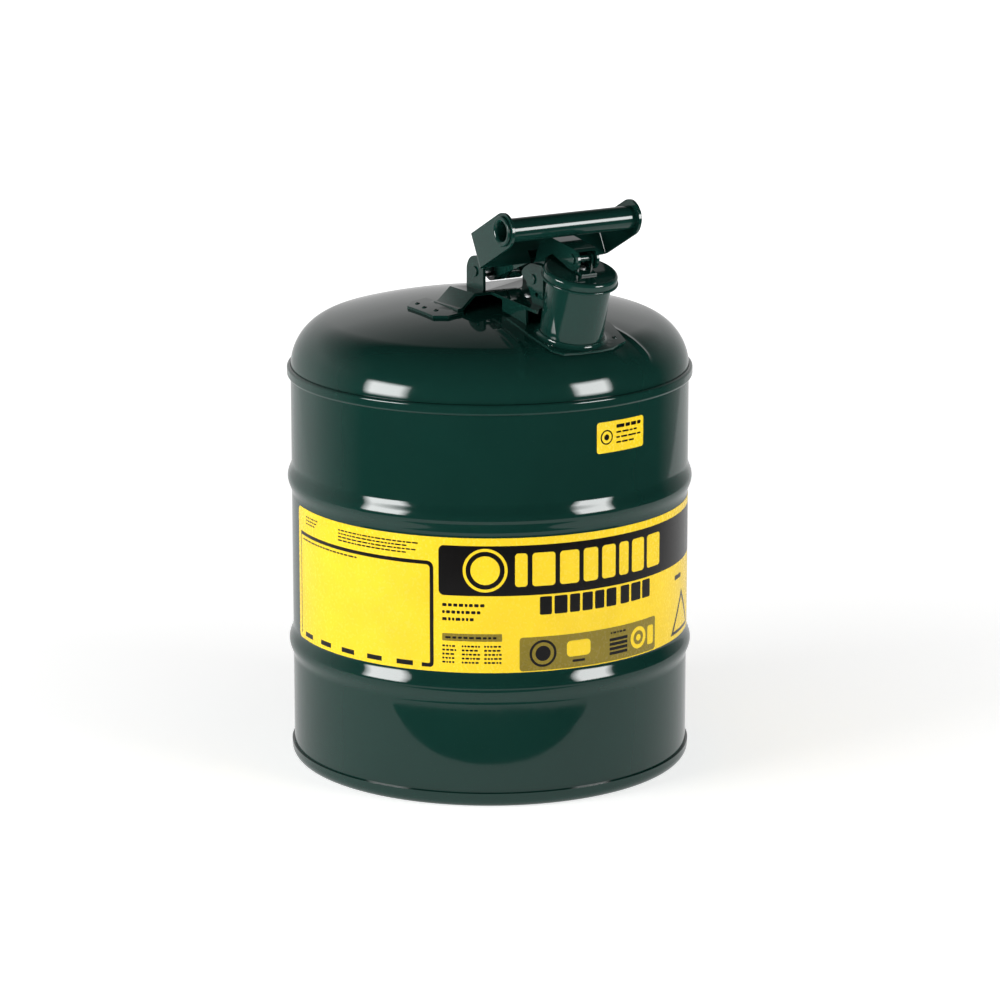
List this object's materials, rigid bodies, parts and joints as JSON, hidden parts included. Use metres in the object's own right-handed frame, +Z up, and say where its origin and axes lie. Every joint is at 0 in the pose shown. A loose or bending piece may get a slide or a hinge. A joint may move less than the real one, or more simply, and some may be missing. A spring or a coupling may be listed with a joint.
{
  "type": "safety gas can",
  "caption": "Round steel safety can with a crowned top, a tilted spout with a flame arrester, a spring-closed lid on a lever and a swinging carry handle.",
  "frame": {"origin": "centre of the can's base on the floor", "axes": "+Z up along the can's axis, +X from the axis towards the spout, Y along the handle's grip"},
  "size_m": [0.2989, 0.299, 0.428],
  "materials": {
    "enamel": "glossy baked dark green enamel",
    "zinc": "bright zinc-plated steel",
    "stainless_mesh": "woven stainless wire cloth",
    "seal": "black fuel-resistant rubber",
    "label": null
  },
  "bodies": {
    "can": {"body_shell": "enamel", "bottom_pan": "enamel", "bottom_chime": "enamel", "dome_top": "enamel", "top_seam": "enamel", "spout_collar": "enamel", "spout_neck": "enamel", "spout_rim": "enamel", "arrester_flange": "zinc", "arrester_outer_screen": "stainless_mesh", "arrester_inner_screen": "stainless_mesh", "arrester_end_cap": "zinc", "arrester_retaining_ring": "zinc", "mount_bracket": "enamel", "handle_pivot_pin": "enamel", "pivot_spacers": "zinc", "lid_hinge_pin": "enamel", "lid_spring": "zinc", "main_label": "label", "listing_label": "label"},
    "handle": {"handle_yoke": "enamel", "pivot_sleeve": "zinc", "grip_tube": "enamel"},
    "lid": {"lid_lever": "enamel", "clevis_pin": "zinc"},
    "cap": {"cap_shell": "enamel", "cap_clevis": "enamel", "cap_gasket": "seal", "gasket_retainer": "zinc", "cap_rivet": "zinc"}
  },
  "joints": [
    {"name": "handle_swing", "type": "hinge", "parent": "can", "child": "handle", "pos_m": [0.02, 0, 0.37], "axis": [0, -1, 0], "range_deg": [0, 140]},
    {"name": "lid_open", "type": "hinge", "parent": "can", "child": "lid", "pos_m": [0.077, 0, 0.372], "axis": [0, -1, 0], "range_deg": [0, 64], "stiffness_Nm_per_rad": 0.2, "springref_deg": -17.19, "deforming": ["lid_spring"]},
    {"name": "cap_tilt", "type": "hinge", "parent": "lid", "child": "cap", "pos_m": [0.12411, 0, 0.39338], "axis": [0, -1, 0], "range_deg": [-4.5, 0]}
  ],
  "couplings": [
    {"joint": "lid_open", "follows": "handle_swing", "ratio": 0.45},
    {"joint": "cap_tilt", "follows": "handle_swing", "ratio": -0.03}
  ]
}
